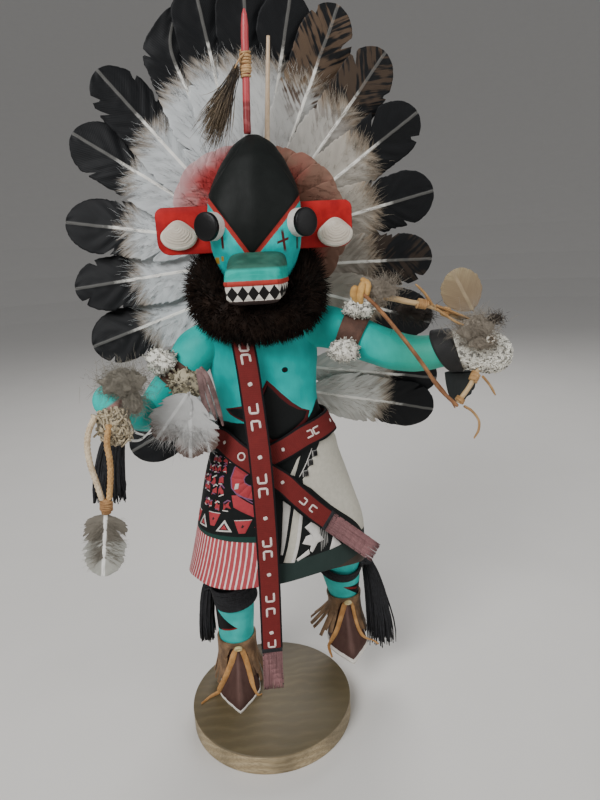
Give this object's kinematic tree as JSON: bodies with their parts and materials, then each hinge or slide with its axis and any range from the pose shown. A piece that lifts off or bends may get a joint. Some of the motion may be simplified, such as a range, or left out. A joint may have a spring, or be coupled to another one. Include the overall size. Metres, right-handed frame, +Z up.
{
  "type": "kachina doll",
  "caption": "Carved and painted masked dancer doll on a round wooden base, one foot raised, with a feather bonnet, fur collar, sashes, a bow in one hand and a hanging feather in the other.",
  "frame": {"origin": "centre of the round base's underside", "axes": "+Z up, the dancer faces -Y, the dancer's left arm with the bow reaches towards +X"},
  "size_m": [0.2363, 0.1016, 0.432],
  "materials": {
    "base_wood": "oiled pine, matt",
    "turquoise_paint": "satin acrylic paint on carved cottonwood",
    "black_paint": "matt black paint on wood",
    "red_paint": "satin red paint on wood",
    "sash_paint": "painted leather strip, satin",
    "shell": "natural shell, satin",
    "fur": "dark fur",
    "feather": "feather vane, soft",
    "down": "grey-brown feather and down",
    "brown_leather": "brown leather",
    "tan_leather": "orange-tan suede thong",
    "lace": "white crochet",
    "black_yarn": "black wool yarn",
    "cream_cord": "cream twisted cord",
    "bow_wood": "peeled pale wood"
  },
  "bodies": {
    "root": {"base": "base_wood", "figure": "turquoise_paint", "arm_right": "turquoise_paint", "arm_left": "turquoise_paint", "eye_right": "black_paint", "eye_left": "black_paint", "ear_right": "red_paint", "ear_left": "red_paint", "ear_shell_right": "shell", "ear_shell_left": "shell", "fur_ruff": "fur", "crown_rod": "red_paint", "rod_tie": "tan_leather", "rod_feather": "down", "bonnet_pad": "brown_leather", "bonnet_feather_01": "feather", "bonnet_feather_02": "feather", "bonnet_feather_03": "feather", "bonnet_feather_04": "feather", "bonnet_feather_05": "feather", "bonnet_feather_06": "feather", "bonnet_feather_07": "feather", "bonnet_feather_08": "feather", "bonnet_feather_09": "feather", "bonnet_feather_10": "feather", "bonnet_feather_11": "feather", "bonnet_feather_12": "feather", "bonnet_feather_13": "feather", "bonnet_feather_14": "feather", "bonnet_feather_15": "feather", "bonnet_feather_16": "feather", "bonnet_feather_17": "feather", "bonnet_feather_18": "feather", "sash_waist": "sash_paint", "sash_hanging": "sash_paint", "armband_right": "brown_leather", "armband_left": "brown_leather", "armband_lace_right_upper": "lace", "armband_lace_right_front": "lace", "armband_lace_left_upper": "lace", "armband_lace_left_lower": "lace", "armband_feather": "feather", "wrist_cuff_left": "black_yarn", "cuff_cloth_left": "black_yarn", "fist_lace": "lace", "bow_stave": "bow_wood", "bow_string": "tan_leather", "bow_knot": "tan_leather", "bow_feather": "down", "hand_cord_outer": "cream_cord", "hand_cord_inner": "cream_cord", "hand_cord_tie": "tan_leather", "hand_feather": "down", "hand_yarn_right": "black_yarn", "knee_band_right": "black_yarn", "knee_band_left": "black_yarn", "leg_yarn_right": "black_yarn", "leg_yarn_left": "black_yarn", "ankle_fringe_right": "brown_leather", "ankle_fringe_left": "brown_leather"}
  },
  "joints": []
}
